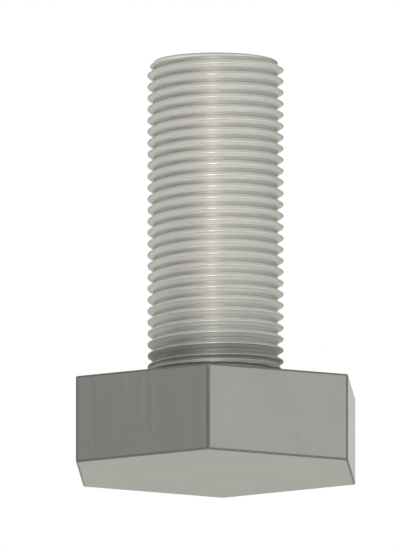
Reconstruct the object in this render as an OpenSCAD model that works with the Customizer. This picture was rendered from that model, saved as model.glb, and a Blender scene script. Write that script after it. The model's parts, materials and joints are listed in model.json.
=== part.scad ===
// Hex-head bolt, forged and rolled as one solid piece.
// It stands on its head: the origin is the centre of the head's outer face and +Z runs along the shank.
// The thread is right-handed, with the basic metric profile: a narrow crest flat, two straight flanks
// and a wider root flat.

/* [Head] */
// Width of the hexagon across its flats
head_across_flats = 12; // [9:0.1:19]
// Height of the head
head_height = 3.85; // [2:0.05:8]
// Width of the broken edge round both faces of the head
rim_break = 0.1; // [0.05:0.05:0.5]
// Depth that the six upright corners are broken by
corner_break = 0.05; // [0.05:0.05:0.5]

/* [Shank] */
// Length of the shank, from the bearing face to the tip
shank_length = 14.5; // [8:0.5:20]
// Length of the plain neck under the head, where the thread has run out
neck_length = 0.6; // [0.4:0.1:3]
// Radius of the fillet between the bearing face and the neck
neck_fillet = 0.25; // [0.05:0.05:0.4]
// Length of the lead-in chamfer at the tip
tip_chamfer = 0.3; // [0.1:0.05:1]
// Slope of the tip chamfer, measured from the axis
tip_chamfer_angle = 45; // [20:1:60]

/* [Thread] */
// Outer diameter of the thread
thread_diameter = 6; // [4:0.1:8]
// Rise of the thread in one turn
thread_pitch = 0.5; // [0.5:0.05:1]
// Angle between the two flanks
flank_angle = 60; // [50:1:90]

/* [Hidden] */

// Parts of one pitch taken by the crest flat and by the root flat
crest_share = 1 / 8;
root_share = 1 / 4;
// Facets round one turn of the thread, and round the blank that it is rolled on
turn_facets = 36;
blank_facets = 96;
// Steps along the neck's fillet
fillet_steps = 8;
// Turns over which the groove fades out beside the neck
runout_turns = 1;
// Overlap that lets joined solids share some volume, and cutters reach past a face
joint_overlap = 0.2;
// How far the blank stands clear of the crests
crest_margin = 0.01;
// Two points closer than this are one point
same_point = 0.000001;
// One spare turn below the thread and two above it let every column of points reach both ends
spare_turns = 3;

thread_radius = thread_diameter / 2;
crest_width = thread_pitch * crest_share;
root_width = thread_pitch * root_share;
flank_rise = (thread_pitch - crest_width - root_width) / 2;
thread_depth = flank_rise / tan(flank_angle / 2);
// A rolled blank is about as wide as the middle of the flanks
neck_radius = thread_radius - thread_depth / 2;

tip_z = head_height + shank_length;
thread_start_z = head_height + neck_length;
thread_length = tip_z - thread_start_z;
tip_radius = thread_radius - tip_chamfer * tan(tip_chamfer_angle);
blank_radius = thread_radius + crest_margin;
corner_radius = head_across_flats / 2 / cos(30);

// Heights of the profile's four corners within one pitch, and how deep each one lies
corner_rise = [0, crest_width, crest_width + flank_rise, crest_width + flank_rise + root_width];
corner_sunk = [0, 0, 1, 1];
corners = len(corner_rise);
turns = ceil(thread_length / thread_pitch) + spare_turns;
rows = turns * corners;
// The skin stops one turn short of the last row, because the seam joins onto the turn above
last_row = rows - 1 - corners;

// How far the groove is sunk at a height above the neck, from 0 to 1
function runout(z) = min(1, max(0, z / (runout_turns * thread_pitch)));

// Share of the full groove depth at a place within one pitch
function groove(place) =
    place < corner_rise[1] ? 0 :
    place < corner_rise[2] ? (place - corner_rise[1]) / flank_rise :
    place < corner_rise[3] ? 1 :
    1 - (place - corner_rise[3]) / flank_rise;

// Radius of the thread's surface on a column that has turned by part of a turn, at a height above the neck
function surface_radius(turned, z) =
    let (along = (z / thread_pitch - turned) + 1)
    thread_radius - thread_depth * runout(z) * groove(thread_pitch * (along - floor(along)));

// Point of the thread in a column and a row, brought back to the end planes where the row lies past them
function thread_point(column, row) =
    let (turned = column / turn_facets,
         corner = row % corners,
         free_z = thread_pitch * (floor(row / corners) - 1 + turned) + corner_rise[corner],
         z = min(thread_length, max(0, free_z)),
         sunk = thread_radius - thread_depth * runout(z) * corner_sunk[corner],
         radius = z == free_z ? sunk : surface_radius(turned, z),
         angle = 360 * turned)
    [radius * cos(angle), radius * sin(angle), z];

// Number of the point in a column and a row: past the last column the count goes on one turn higher
function point_number(column, row) =
    column < turn_facets ? column * rows + row : row + corners;

function differ(a, b) = norm(a - b) > same_point;

module thread_body() {
    points = [for (column = [0 : turn_facets - 1]) for (row = [0 : rows - 1]) thread_point(column, row)];
    base_number = len(points);
    all_points = concat(points, [[0, 0, 0], [0, 0, thread_length]]);
    skin = [
        for (column = [0 : turn_facets - 1])
            for (row = [0 : last_row - 1])
                let (a = point_number(column, row),
                     b = point_number(column + 1, row),
                     c = point_number(column + 1, row + 1),
                     d = point_number(column, row + 1))
                for (face = [[a, d, c], [a, c, b]]) face
    ];
    base = [
        for (column = [0 : turn_facets - 1])
            [base_number, point_number(column, 0), point_number(column + 1, 0)]
    ];
    top = [
        for (column = [0 : turn_facets - 1])
            [base_number + 1, point_number(column + 1, last_row), point_number(column, last_row)]
    ];
    real_faces = [
        for (face = concat(skin, base, top))
            if (differ(all_points[face[0]], all_points[face[1]])
                && differ(all_points[face[1]], all_points[face[2]])
                && differ(all_points[face[2]], all_points[face[0]])) face
    ];
    translate([0, 0, thread_start_z])
        polyhedron(points = all_points, faces = real_faces);
}

// One pair of flats with their rims broken; three of them cross to make the hexagon
module flats_pair() {
    half = head_across_flats / 2;
    rotate([90, 0, 0])
        linear_extrude(height = 2 * (corner_radius + joint_overlap), center = true)
            polygon([
                [half - rim_break, 0], [half, rim_break],
                [half, head_height - rim_break], [half - rim_break, head_height],
                [rim_break - half, head_height], [-half, head_height - rim_break],
                [-half, rim_break], [rim_break - half, 0]
            ]);
}

module head() {
    color("silver")
    intersection() {
        flats_pair();
        rotate([0, 0, 60]) flats_pair();
        rotate([0, 0, 120]) flats_pair();
        // A second hexagon, turned by half a side, takes the points off the corners
        translate([0, 0, -joint_overlap])
            cylinder(r = (corner_radius - corner_break) / cos(30),
                     h = head_height + 2 * joint_overlap, $fn = 6);
    }
}

// Half outline of the blank that the thread is rolled on: fillet, neck, cone up to the thread, tip chamfer
module blank() {
    fillet_centre = [neck_radius + neck_fillet, head_height + neck_fillet];
    rotate_extrude($fn = blank_facets)
        polygon(concat(
            [[0, head_height - joint_overlap], [neck_radius + neck_fillet, head_height - joint_overlap]],
            [for (step = [0 : fillet_steps])
                let (turned = 270 - 90 * step / fillet_steps)
                fillet_centre + neck_fillet * [cos(turned), sin(turned)]],
            [[neck_radius, thread_start_z],
             [blank_radius, thread_start_z + blank_radius - neck_radius],
             [blank_radius, tip_z - tip_chamfer],
             [tip_radius, tip_z], [0, tip_z]]
        ));
}

module shank() {
    color("silver")
    intersection() {
        blank();
        union() {
            thread_body();
            translate([0, 0, head_height - joint_overlap])
                cylinder(r = neck_radius + neck_fillet + joint_overlap,
                         h = neck_length + joint_overlap, $fn = blank_facets);
        }
    }
}

module bolt() {
    union() {
        head();
        shank();
    }
}

bolt();
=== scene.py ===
import json
import math

import bmesh
import bpy
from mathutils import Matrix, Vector


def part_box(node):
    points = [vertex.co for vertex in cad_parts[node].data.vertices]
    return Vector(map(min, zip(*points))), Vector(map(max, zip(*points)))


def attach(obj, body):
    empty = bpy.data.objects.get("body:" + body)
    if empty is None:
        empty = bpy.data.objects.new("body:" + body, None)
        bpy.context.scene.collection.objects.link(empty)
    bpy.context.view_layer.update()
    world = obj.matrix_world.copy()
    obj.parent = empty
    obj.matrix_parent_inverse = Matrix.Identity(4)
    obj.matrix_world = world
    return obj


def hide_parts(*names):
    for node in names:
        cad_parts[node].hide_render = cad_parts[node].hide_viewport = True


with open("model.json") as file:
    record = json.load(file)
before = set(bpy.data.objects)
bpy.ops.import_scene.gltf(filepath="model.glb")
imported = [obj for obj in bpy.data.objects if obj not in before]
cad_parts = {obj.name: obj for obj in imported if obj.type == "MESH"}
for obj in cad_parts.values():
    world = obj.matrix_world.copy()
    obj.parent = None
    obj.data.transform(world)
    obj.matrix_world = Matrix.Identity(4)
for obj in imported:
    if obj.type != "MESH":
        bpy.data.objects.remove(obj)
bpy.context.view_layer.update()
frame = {"nodes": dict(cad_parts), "record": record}
print("frame loaded:", ", ".join(sorted(frame["nodes"])))

mm = 0.001
mounts = {mount["name"]: mount for mount in frame["record"]["mounts"]}
boltLow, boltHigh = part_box("bolt")
forgedSlot, rolledSlot, turnedSlot = 0, 1, 2      # the bolt's materials, in the order they are added


def linearColour(hexText):
    # sRGB hex to the linear colour that the shader wants
    channels = [int(hexText[i:i + 2], 16) / 255 for i in (1, 3, 5)]
    return [c / 12.92 if c <= 0.04045 else ((c + 0.055) / 1.055) ** 2.4 for c in channels] + [1.0]


def addNode(tree, kind, values=None, links=None, **settings):
    # one node with its settings, socket values and incoming links
    node = tree.nodes.new(kind)
    for name, value in settings.items():
        setattr(node, name, value)
    for socket, value in (values or {}).items():
        node.inputs[socket].default_value = value
    for socket, source in (links or {}).items():
        tree.links.new(source, node.inputs[socket])
    return node


def direction(azimuth, elevation):
    # azimuth 0 is the front, -Y, and 90 is +X; both in degrees
    a, e = math.radians(azimuth), math.radians(elevation)
    return Vector((math.sin(a) * math.cos(e), -math.cos(a) * math.cos(e), math.sin(e)))


def addObject(name, data):
    piece = bpy.data.objects.new(name, data)
    bpy.context.scene.collection.objects.link(piece)
    return piece


# The shank: a fine right-hand metric thread, rolled up to a short plain neck
thread = {
    "radius": mounts["thread"]["dims"]["r_mm"] * mm,
    "length": mounts["thread"]["dims"]["length_mm"] * mm,
    "pitch": 0.5 * mm,
    "flankAngle": 60,            # degrees between the two flanks
    "crestShare": 1 / 8,         # parts of a pitch taken by the crest and root flats
    "rootShare": 1 / 4,
    "crestRound": 0.030 * mm,    # how far each rounding reaches from its corner
    "rootRound": 0.055 * mm,
    "roundSteps": 4,
    "flankSteps": 4,
    "columns": 96,               # facets round one turn
    "spareTurns": 3,             # reach past both ends before the thread is cut to length
    "runoutTurns": 1.0,          # turns over which the groove fades out beside the neck
    "neckFillet": 0.25 * mm,
    "filletSteps": 8,
    "tipChamfer": 0.30 * mm,
}


def roundedProfile():
    # one pitch as (height, depth) points: crest flat, falling flank, root, rising flank
    crestWidth = thread["pitch"] * thread["crestShare"]
    rootWidth = thread["pitch"] * thread["rootShare"]
    flankRise = (thread["pitch"] - crestWidth - rootWidth) / 2
    depth = flankRise / math.tan(math.radians(thread["flankAngle"] / 2))
    corners = [
        (Vector((0, 0)), thread["crestRound"]),
        (Vector((crestWidth, 0)), thread["crestRound"]),
        (Vector((crestWidth + flankRise, depth)), thread["rootRound"]),
        (Vector((crestWidth + flankRise + rootWidth, depth)), thread["rootRound"]),
    ]
    count = len(corners)
    onePitch = Vector((thread["pitch"], 0))
    points = []
    for number, (corner, reach) in enumerate(corners):
        before = corners[number - 1][0] - (onePitch if number == 0 else Vector((0, 0)))
        after = corners[(number + 1) % count][0] + (onePitch if number == count - 1 else Vector((0, 0)))
        start = corner + (before - corner).normalized() * reach
        end = corner + (after - corner).normalized() * reach
        for step in range(thread["roundSteps"] + 1):
            t = step / thread["roundSteps"]
            points.append(start * (1 - t) ** 2 + corner * 2 * t * (1 - t) + end * t ** 2)
        if number in (1, 3):                 # a flank follows this corner
            nextReach = corners[(number + 1) % count][1]
            flankEnd = after + (corner - after).normalized() * nextReach
            for step in range(1, thread["flankSteps"]):
                points.append(end.lerp(flankEnd, step / thread["flankSteps"]))
    return [(p.x, p.y) for p in points], depth


profile, threadDepth = roundedProfile()
neckRadius = thread["radius"] - threadDepth / 2      # a rolled blank is as wide as mid-flank
threadStart = boltHigh.z - thread["length"]
turns = math.ceil(thread["length"] / thread["pitch"]) + thread["spareTurns"]


def profileDepth(place):
    # depth of the groove at a height within one pitch
    place %= thread["pitch"]
    around = profile + [(profile[0][0] + thread["pitch"], profile[0][1])]
    if place < around[0][0]:
        place += thread["pitch"]
    for (z0, d0), (z1, d1) in zip(around, around[1:]):
        if z0 <= place <= z1:
            return d0 + (d1 - d0) * (place - z0) / (z1 - z0)
    return around[-1][1]


def shankRadius(depth, height):
    # radius at a height above the thread's start, kept inside the neck's cone and the tip's chamfer
    fade = min(1, max(0, height / (thread["runoutTurns"] * thread["pitch"])))
    radius = thread["radius"] - depth * fade
    neckCone = neckRadius + max(0, height)      # both cones slope at 45 degrees
    tipCone = thread["radius"] - thread["tipChamfer"] + (thread["length"] - height)
    return min(radius, neckCone, tipCone)


def addShank(bm, wear):
    # skin of the helix, column by column; returns the ring where its fillet meets the bearing face
    columns, rows = thread["columns"], len(profile)
    grid = []
    for column in range(columns):
        turnPart = column / columns
        angle = 2 * math.pi * turnPart
        line = []
        for row in range(turns * rows):
            place, depth = profile[row % rows]
            free = thread["pitch"] * (row // rows - 1 + turnPart) + place
            height = min(thread["length"], max(0, free))
            if height != free:
                depth = profileDepth(height - thread["pitch"] * turnPart)
            radius = shankRadius(depth, height)
            vert = bm.verts.new((radius * math.cos(angle), radius * math.sin(angle),
                                 threadStart + height))
            vert[wear] = 1 - (thread["radius"] - radius) / threadDepth
            line.append(vert)
        grid.append(line)
    lastRow = turns * rows - 1 - rows

    def vertAt(column, row):
        # past the last column the helix joins onto the turn above
        return grid[column][row] if column < columns else grid[0][row + rows]

    for column in range(columns):
        for row in range(lastRow):
            bm.faces.new((vertAt(column, row), vertAt(column + 1, row),
                          vertAt(column + 1, row + 1), vertAt(column, row + 1)))
    ring = [line[0] for line in grid]
    for step in range(thread["filletSteps"] + 1):
        t = math.radians(90 * step / thread["filletSteps"])
        radius = neckRadius + thread["neckFillet"] * (1 - math.cos(t))
        z = head["height"] + thread["neckFillet"] * (1 - math.sin(t))
        lower = []
        for column in range(columns):
            angle = 2 * math.pi * column / columns
            vert = bm.verts.new((radius * math.cos(angle), radius * math.sin(angle), z))
            vert[wear] = 0.5                 # the neck is as wide as mid-flank
            lower.append(vert)
        for column in range(columns):
            following = (column + 1) % columns
            bm.faces.new((lower[column], lower[following], ring[following], ring[column]))
        ring = lower
    for face in bm.faces:
        face.material_index = rolledSlot
    end = bm.faces.new([vertAt(column, lastRow) for column in range(columns)])
    end.material_index = turnedSlot
    return ring


# The head: a cold-forged hexagon, trimmed to size, with its edges just broken
head = {
    "sides": 6,
    "acrossFlats": boltHigh.x - boltLow.x,
    "height": mounts["bearing_face"]["pos_m"][2],
    "edgeRound": 0.07 * mm,
    "edgeSteps": 4,
    "wearWidth": 0.05 * mm,      # how far the dulled band reaches in from each edge
}
roundProfile = 0.5               # makes a bevel round


def addHead(bm, wear, neckRing):
    # hexagonal prism with rounded edges; its bearing face is opened round the neck's ring
    sides = head["sides"]
    halfSide = math.pi / sides
    cornerRadius = head["acrossFlats"] / 2 / math.cos(halfSide)
    low, high = [], []
    for corner in range(sides):
        angle = halfSide * (1 + 2 * corner)
        x, y = cornerRadius * math.cos(angle), cornerRadius * math.sin(angle)
        low.append(bm.verts.new((x, y, 0)))
        high.append(bm.verts.new((x, y, head["height"])))
    faces = [bm.faces.new(list(reversed(low))), bm.faces.new(high)]
    for corner in range(sides):
        following = (corner + 1) % sides
        faces.append(bm.faces.new((low[corner], low[following], high[following], high[corner])))
    edges = list(dict.fromkeys(edge for face in faces for edge in face.edges))
    rounded = bmesh.ops.bevel(bm, geom=edges, offset=head["edgeRound"], segments=head["edgeSteps"],
                              profile=roundProfile, affect="EDGES", clamp_overlap=True)
    for face in rounded["faces"]:
        for vert in face.verts:
            vert[wear] = 1
    edgeFaces = set(rounded["faces"])
    flats = [face for face in bm.faces
             if face.material_index == forgedSlot and face not in edgeFaces]
    bmesh.ops.inset_individual(bm, faces=flats, thickness=head["wearWidth"], use_even_offset=True)
    for face in flats:
        for vert in face.verts:
            vert[wear] = 0
    bearing = max(flats, key=lambda face: face.calc_center_median().z)
    rim = list(bearing.edges)
    bmesh.ops.delete(bm, geom=[bearing], context="FACES_ONLY")
    neckEdges = [bm.edges.get((vert, neckRing[number - 1])) for number, vert in enumerate(neckRing)]
    bmesh.ops.triangle_fill(bm, use_beauty=True, edges=rim + neckEdges)


# Both join into one skin
skin = {
    "weld": 0.0002 * mm,         # points nearer than this become one
    "sharpAngle": 35,            # degrees; a fold above this stays crisp
}


def buildBolt():
    bm = bmesh.new()
    wear = bm.verts.layers.float.new("wear")      # 1 on crests and dulled edges, 0 in roots and on flats
    neckRing = addShank(bm, wear)
    addHead(bm, wear, neckRing)
    bmesh.ops.remove_doubles(bm, verts=bm.verts, dist=skin["weld"])
    bmesh.ops.recalc_face_normals(bm, faces=bm.faces)
    mesh = bpy.data.meshes.new("bolt_steel")
    bm.to_mesh(mesh)
    bm.free()
    mesh.shade_smooth()
    mesh.set_sharp_from_angle(angle=math.radians(skin["sharpAngle"]))
    piece = addObject("bolt_steel", mesh)
    flatShading = piece.modifiers.new("flat_shading", "WEIGHTED_NORMAL")      # keeps the flats flat
    flatShading.keep_sharp = True
    return piece


bolt = buildBolt()
print("bolt mesh:", len(bolt.data.polygons), "faces")


def startMaterial(name, metallic):
    # a Principled material, its node tree and its shader
    material = bpy.data.materials.new(name)
    material.use_nodes = True
    tree = material.node_tree
    shader = tree.nodes["Principled BSDF"]
    shader.inputs["Metallic"].default_value = metallic
    return material, tree, shader


plainDetail = 2.0                # layers of ever finer noise inside a pattern
fineDetail = 3.0
halfway = 0.5                    # the middle of a pattern that runs from 0 to 1
colourA, colourB, mixed = 6, 7, 2      # the sockets of a Mix node that takes colours, and its output


def grains(tree, sizes, detail=plainDetail):
    # noise whose grains have the given real sizes along X, Y and Z
    place = addNode(tree, "ShaderNodeTexCoord").outputs["Object"]      # metres
    scaled = addNode(tree, "ShaderNodeMapping", {"Scale": [1 / size for size in sizes]}, {"Vector": place})
    return addNode(tree, "ShaderNodeTexNoise", {"Scale": 1.0, "Detail": detail},
                   {"Vector": scaled.outputs[0]}).outputs["Fac"]


def swing(tree, middle, patterns):
    # a middle value that each pattern pushes up and down by its share
    total = None
    start = middle - sum(share for pattern, share in patterns) / 2
    for pattern, share in patterns:
        values, links = {1: share, 2: start}, {0: pattern}
        if total is not None:
            links[2] = total
        total = addNode(tree, "ShaderNodeMath", values, links, operation="MULTIPLY_ADD").outputs[0]
    return total


def finishMetal(tree, shader, colour, tone, roughness, height, depth):
    # tone scales the colour; height, from 0 to 1, is pressed into the surface by depth metres
    toned = addNode(tree, "ShaderNodeVectorMath", links={0: colour, "Scale": tone}, operation="SCALE")
    bump = addNode(tree, "ShaderNodeBump", {"Strength": 1.0, "Distance": depth}, {"Height": height})
    tree.links.new(toned.outputs[0], shader.inputs["Base Color"])
    tree.links.new(roughness, shader.inputs["Roughness"])
    tree.links.new(bump.outputs[0], shader.inputs["Normal"])


def drawOut(tree, shader, stretch):
    # marks that run round the bolt's axis draw each highlight out across them
    around = addNode(tree, "ShaderNodeTangent", direction_type="RADIAL", axis="Z").outputs[0]
    tree.links.new(around, shader.inputs["Tangent"])
    shader.inputs["Anisotropic"].default_value = stretch
    quarterTurn = 0.25
    shader.inputs["Anisotropic Rotation"].default_value = quarterTurn


# Cold-forged steel: satin and a little grey from its film, with upright marks that the trimming die
# drew down the six flats, and edges that tumbling with other bolts has dulled and darkened
forged = {
    "film": "#9F9E99",
    "edge": "#6E6D69",
    "edgeTint": "#F1F3EB",       # the film stays a little warm and dark where it is seen edge on
    "filmRoughness": 0.42,
    "edgeRoughness": 0.50,
    "cloudSize": 2.5 * mm,       # soft patches in the film
    "cloudShare": 0.16,
    "edgeUneven": 0.6,           # how much the patches widen and narrow the dulled band
    "edgeStart": 0.2,            # wear at which the dulling starts
    "grainSize": 0.10 * mm,      # matt grain; the real one is about 0.03 mm, too fine to show
    "grainShare": 0.12,
    "grainRelief": 0.5,          # beside the marks' 1
    "dragSpacing": 0.14 * mm,
    "dragLength": 7 * mm,
    "dragShare": 0.11,
    "dragRoughness": 0.08,
    "relief": 0.004 * mm,
}


def forgedSteel():
    material, tree, shader = startMaterial("forged_steel", 1.0)
    wear = addNode(tree, "ShaderNodeAttribute", attribute_name="wear").outputs["Fac"]
    cloud = grains(tree, [forged["cloudSize"]] * 3, fineDetail)
    grain = grains(tree, [forged["grainSize"]] * 3)
    drag = grains(tree, [forged["dragSpacing"], forged["dragSpacing"], forged["dragLength"]], fineDetail)
    unevenWear = swing(tree, halfway, [(wear, 1.0), (cloud, forged["edgeUneven"])])
    onEdge = addNode(tree, "ShaderNodeMapRange", {"From Min": forged["edgeStart"]}, {"Value": unevenWear},
                     interpolation_type="SMOOTHSTEP").outputs[0]
    tone = swing(tree, 1.0, [(cloud, forged["cloudShare"]), (grain, forged["grainShare"]),
                             (drag, forged["dragShare"])])
    middle = (forged["filmRoughness"] + forged["edgeRoughness"]) / 2
    roughness = swing(tree, middle, [(onEdge, forged["edgeRoughness"] - forged["filmRoughness"]),
                                     (drag, forged["dragRoughness"])])
    height = swing(tree, halfway, [(grain, forged["grainRelief"]), (drag, 1.0)])
    colour = addNode(tree, "ShaderNodeMix",
                     {colourA: linearColour(forged["film"]), colourB: linearColour(forged["edge"])},
                     {0: onEdge}, data_type="RGBA").outputs[mixed]
    shader.inputs["Specular Tint"].default_value = linearColour(forged["edgeTint"])
    finishMetal(tree, shader, colour, tone, roughness, height, forged["relief"])
    return material


# Rolled steel: the flanks, which slide along the dies, come out palest and the crests a little greyer,
# while the roots are darker still, painted shade in the groove bottoms; handling smooths the crests, and
# fine streaks run round with the rolling
rolled = {
    # painted shade: the roots are coloured darker, as the groove bottoms lie in shade
    "root": "#AFAEA8",
    "flank": "#E4E3DE",
    "crest": "#C5C4BE",
    "rootEnds": 0.02,            # levels from the root, 0, to the crest, 1, where the colours pass over
    "flankStarts": 0.22,
    "flankEnds": 0.78,
    "crestStarts": 0.92,
    "edgeTint": "#BCBCBA",       # its oily film keeps it from turning white where it is seen edge on
    "stretch": 0.6,              # the streaks draw each highlight out along the shank
    "roughness": 0.50,
    "crestRoughness": 0.37,
    "streakWidth": 0.06 * mm,    # along the shank; the real ones are finer, too fine to show
    "streakLength": 2.0 * mm,    # round it
    "streakShare": 0.16,
    "streakRoughness": 0.10,
    "patchSize": 1.6 * mm,
    "patchShare": 0.10,
    "relief": 0.002 * mm,
    "cornerTone": 0.30,          # painted shade: the colour darkens into the corner under the thread, where the head shades it
    "cornerReach": 2.3 * mm,
}


def rolledSteel():
    material, tree, shader = startMaterial("rolled_steel", 1.0)
    wear = addNode(tree, "ShaderNodeAttribute", attribute_name="wear").outputs["Fac"]
    streakSize = [rolled["streakLength"], rolled["streakLength"], rolled["streakWidth"]]
    streak = grains(tree, streakSize, fineDetail)
    patch = grains(tree, [rolled["patchSize"]] * 3)
    onFlank = addNode(tree, "ShaderNodeMapRange",
                      {"From Min": rolled["rootEnds"], "From Max": rolled["flankStarts"]},
                      {"Value": wear}, interpolation_type="SMOOTHSTEP").outputs[0]
    onCrest = addNode(tree, "ShaderNodeMapRange",
                      {"From Min": rolled["flankEnds"], "From Max": rolled["crestStarts"]},
                      {"Value": wear}, interpolation_type="SMOOTHSTEP").outputs[0]
    rootShadeToFlank = addNode(tree, "ShaderNodeMix",
                          {colourA: linearColour(rolled["root"]), colourB: linearColour(rolled["flank"])},
                          {0: onFlank}, data_type="RGBA").outputs[mixed]
    colour = addNode(tree, "ShaderNodeMix", {colourB: linearColour(rolled["crest"])},
                     {0: onCrest, colourA: rootShadeToFlank}, data_type="RGBA").outputs[mixed]
    place = addNode(tree, "ShaderNodeTexCoord").outputs["Object"]
    height = addNode(tree, "ShaderNodeSeparateXYZ", links={0: place}).outputs["Z"]
    # painted shade: the thread's colour darkens over the last turns towards the head
    corner = addNode(tree, "ShaderNodeMapRange",
                     {"From Min": head["height"], "From Max": head["height"] + rolled["cornerReach"],
                      "To Min": rolled["cornerTone"]},
                     {"Value": height}, interpolation_type="SMOOTHSTEP").outputs[0]
    even = swing(tree, 1.0, [(streak, rolled["streakShare"]), (patch, rolled["patchShare"])])
    tone = addNode(tree, "ShaderNodeMath", links={0: even, 1: corner}, operation="MULTIPLY").outputs[0]
    middle = (rolled["roughness"] + rolled["crestRoughness"]) / 2
    roughness = swing(tree, middle, [(onCrest, rolled["crestRoughness"] - rolled["roughness"]),
                                     (streak, rolled["streakRoughness"])])
    shader.inputs["Specular Tint"].default_value = linearColour(rolled["edgeTint"])
    drawOut(tree, shader, rolled["stretch"])
    finishMetal(tree, shader, colour, tone, roughness, streak, rolled["relief"])
    return material


# Turned steel of the tip's end: fine rings left by the tool that pointed the blank
turned = {
    "groove": "#B8B7B0",
    "ridge": "#C4C3BC",
    "stretch": 0.6,
    "roughness": 0.30,
    "ringSpacing": 0.12 * mm,    # how far the tool moved in each turn
    "ringWaver": 0.6,            # how far the rings stray from true circles
    "ringShare": 0.08,
    "grainSize": 0.12 * mm,
    "grainShare": 0.12,
    "grainRoughness": 0.12,
    "relief": 0.003 * mm,
}
wavePeriod = 2 * math.pi / 20    # metres between the rings of a Wave texture at scale 1


def turnedSteel():
    material, tree, shader = startMaterial("turned_steel", 1.0)
    place = addNode(tree, "ShaderNodeTexCoord").outputs["Object"]
    ring = addNode(tree, "ShaderNodeTexWave",
                   {"Scale": wavePeriod / turned["ringSpacing"], "Distortion": turned["ringWaver"],
                    "Detail": plainDetail},
                   {"Vector": place}, wave_type="RINGS", rings_direction="Z").outputs["Fac"]
    grain = grains(tree, [turned["grainSize"]] * 3)
    tone = swing(tree, 1.0, [(ring, turned["ringShare"]), (grain, turned["grainShare"])])
    roughness = swing(tree, turned["roughness"], [(grain, turned["grainRoughness"])])
    colour = addNode(tree, "ShaderNodeMix",
                     {colourA: linearColour(turned["groove"]), colourB: linearColour(turned["ridge"])},
                     {0: ring}, data_type="RGBA").outputs[mixed]
    drawOut(tree, shader, turned["stretch"])
    finishMetal(tree, shader, colour, tone, roughness, ring, turned["relief"])
    return material


for material in (forgedSteel(), rolledSteel(), turnedSteel()):
    bolt.data.materials.append(material)
print("materials:", ", ".join(material.name for material in bolt.data.materials))

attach(bolt, "root")
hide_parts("bolt")

# The floor: a matt pale sheet, clear from below so that a low camera sees past it
sheet = {
    "halfWidth": 0.4,
    "drop": 0.01 * mm,           # just under the head's face
    "colour": "#F2F2F0",
    "roughness": 0.9,
}


def paleFloor():
    half, z = sheet["halfWidth"], -sheet["drop"]
    mesh = bpy.data.meshes.new("floor")
    mesh.from_pydata([(-half, -half, z), (half, -half, z), (half, half, z), (-half, half, z)],
                     [], [(0, 1, 2, 3)])
    material, tree, shader = startMaterial("pale_floor", 0.0)
    shader.inputs["Base Color"].default_value = linearColour(sheet["colour"])
    shader.inputs["Roughness"].default_value = sheet["roughness"]
    below = addNode(tree, "ShaderNodeNewGeometry").outputs["Backfacing"]
    clear = addNode(tree, "ShaderNodeBsdfTransparent").outputs[0]
    surface = addNode(tree, "ShaderNodeMixShader", links={0: below, 1: shader.outputs[0], 2: clear})
    tree.links.new(surface.outputs[0], tree.nodes["Material Output"].inputs["Surface"])
    mesh.materials.append(material)
    piece = addObject("floor", mesh)
    piece.visible_diffuse = piece.visible_glossy = False
    piece.visible_transmission = piece.visible_shadow = False
    return piece


paleFloor()

# The studio: white all round, with a soft grey screen and a slightly grey ceiling that only the metal sees
studio = {
    "backdrop": "#FFFFFF",
    "backdropStrength": 1.0,
    "fillStrength": 0.8,
    "screen": "#A2A2A2",
    "screenAzimuth": -65,
    "screenElevation": 9,
    "screenInner": 22,           # degrees from its middle, along the horizon
    "screenOuter": 42,
    "screenFlatness": 2,         # how many times as long as it is high
    "ceiling": "#CFCFCF",
    "ceilingStart": 50,          # degrees above the horizon
    "ceilingFull": 85,
}


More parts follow.
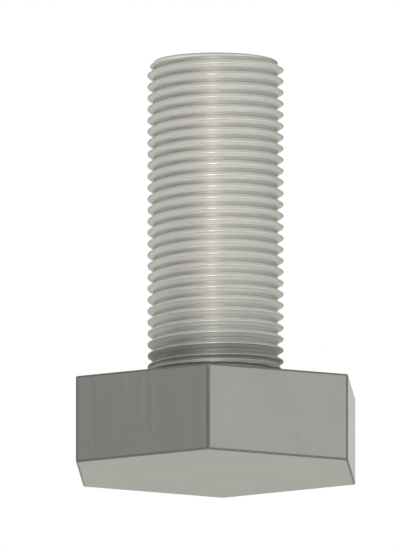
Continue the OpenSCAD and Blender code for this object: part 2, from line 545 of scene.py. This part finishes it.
def buildWorld():
    world = bpy.data.worlds.new("studio")
    world.use_nodes = True
    tree = world.node_tree
    tree.nodes.clear()
    path = addNode(tree, "ShaderNodeLightPath").outputs
    glossyToo = addNode(tree, "ShaderNodeMath", operation="MAXIMUM",
                        links={0: path["Is Camera Ray"], 1: path["Is Glossy Ray"]}).outputs[0]
    backdropSeen = addNode(tree, "ShaderNodeMath", operation="MAXIMUM",
                           links={0: glossyToo, 1: path["Is Transmission Ray"]}).outputs[0]
    towards = addNode(tree, "ShaderNodeTexCoord").outputs["Generated"]
    flatness = Vector((1, 1, studio["screenFlatness"]))
    middle = (direction(studio["screenAzimuth"], studio["screenElevation"]) * flatness).normalized()
    stretched = addNode(tree, "ShaderNodeVectorMath", {1: flatness}, {0: towards}, operation="MULTIPLY")
    unit = addNode(tree, "ShaderNodeVectorMath", links={0: stretched.outputs[0]}, operation="NORMALIZE")
    nearness = addNode(tree, "ShaderNodeVectorMath", {1: middle}, {0: unit.outputs[0]},
                       operation="DOT_PRODUCT").outputs["Value"]
    onScreen = addNode(tree, "ShaderNodeMapRange",
                       {"From Min": math.cos(math.radians(studio["screenOuter"])),
                        "From Max": math.cos(math.radians(studio["screenInner"]))},
                       {"Value": nearness}, interpolation_type="SMOOTHSTEP").outputs[0]
    up = addNode(tree, "ShaderNodeSeparateXYZ", links={0: towards}).outputs["Z"]
    onCeiling = addNode(tree, "ShaderNodeMapRange",
                        {"From Min": math.sin(math.radians(studio["ceilingStart"])),
                         "From Max": math.sin(math.radians(studio["ceilingFull"]))},
                        {"Value": up}, interpolation_type="SMOOTHSTEP").outputs[0]
    white = linearColour(studio["backdrop"])
    room = addNode(tree, "ShaderNodeMix", {colourA: white, colourB: linearColour(studio["ceiling"])},
                   {0: onCeiling}, data_type="RGBA").outputs[mixed]
    reflected = addNode(tree, "ShaderNodeMix", {colourB: linearColour(studio["screen"])},
                        {0: onScreen, colourA: room}, data_type="RGBA").outputs[mixed]
    seen = addNode(tree, "ShaderNodeMix", {colourA: white}, {0: path["Is Glossy Ray"], colourB: reflected},
                   data_type="RGBA").outputs[mixed]
    backdrop = addNode(tree, "ShaderNodeBackground", {"Strength": studio["backdropStrength"]},
                       {"Color": seen})
    fill = addNode(tree, "ShaderNodeBackground", {"Color": white, "Strength": studio["fillStrength"]})
    both = addNode(tree, "ShaderNodeMixShader",
                   links={0: backdropSeen, 1: fill.outputs[0], 2: backdrop.outputs[0]})
    addNode(tree, "ShaderNodeOutputWorld", links={"Surface": both.outputs[0]})
    return world


bpy.context.scene.world = buildWorld()

# Soft lamps, each aimed from the given azimuth and elevation at a height on the bolt's axis; glow is how
# bright its face is beside the white backdrop. The strip stands close to the shank, between the levels of
# the head and of the tip's end, and only the metal shows it
panel = {"aim": 9 * mm, "distance": 0.3, "width": 0.30, "height": 0.14, "onFloor": False}
lamps = {
    "strip": {"aim": 10.9 * mm, "distance": 15 * mm, "width": 0.8 * mm, "height": 11.6 * mm,
              "onFloor": False, "azimuth": -2, "elevation": 6, "glow": 9.0},
    "high_left": panel | {"azimuth": -60, "elevation": 40, "glow": 0.5, "onFloor": True},
    "high_front": panel | {"azimuth": 10, "elevation": 42, "glow": 0.5, "onFloor": True},
    "low_left": panel | {"azimuth": -60, "elevation": -40, "glow": 0.6},
    "low_front": panel | {"azimuth": 0, "elevation": -40, "glow": 0.6},
    "low_right": panel | {"azimuth": 60, "elevation": -40, "glow": 0.9},
    "back": panel | {"azimuth": 177, "elevation": 9, "glow": 0.6, "width": 0.12, "height": 0.12},
}


def addLamp(name, lamp):
    light = bpy.data.lights.new(name, "AREA")
    light.shape = "RECTANGLE"
    light.size, light.size_y = lamp["width"], lamp["height"]
    light.energy = lamp["glow"] * math.pi * lamp["width"] * lamp["height"]
    piece = addObject(name, light)
    away = direction(lamp["azimuth"], lamp["elevation"])
    piece.location = Vector((0, 0, lamp["aim"])) + away * lamp["distance"]
    piece.rotation_mode = "QUATERNION"
    piece.rotation_quaternion = (-away).to_track_quat("-Z", "Y")
    piece.visible_camera = False
    piece.visible_diffuse = lamp["onFloor"]


for name, lamp in lamps.items():
    addLamp(name, lamp)
print("studio: floor, world and", len(lamps), "lamps")

middleOfBolt = (boltLow + boltHigh) / 2

# The camera looks up at the bolt from a little below, with no perspective
camera = {
    "azimuth": 2.7,
    "elevation": -9.0,
    "pixelsPerMm": 22.70,
    "imageWidth": 400,
    "imageHeight": 552,
    "middleX": 215.6,            # where the bolt's middle falls in the picture
    "middleY": 267.8,
    "distance": 0.1,
    "clipStart": 0.001,
    "clipEnd": 2,
}


def addCamera():
    data = bpy.data.cameras.new("camera")
    data.type = "ORTHO"
    data.ortho_scale = camera["imageHeight"] / camera["pixelsPerMm"] * mm
    data.shift_x = (camera["imageWidth"] / 2 - camera["middleX"]) / camera["imageHeight"]
    data.shift_y = (camera["middleY"] - camera["imageHeight"] / 2) / camera["imageHeight"]
    data.clip_start, data.clip_end = camera["clipStart"], camera["clipEnd"]
    piece = addObject("camera", data)
    away = direction(camera["azimuth"], camera["elevation"])
    piece.location = middleOfBolt + away * camera["distance"]
    piece.rotation_mode = "QUATERNION"
    piece.rotation_quaternion = (-away).to_track_quat("-Z", "Y")
    return piece


bpy.context.scene.camera = addCamera()
bpy.context.scene.view_settings.view_transform = "Standard"
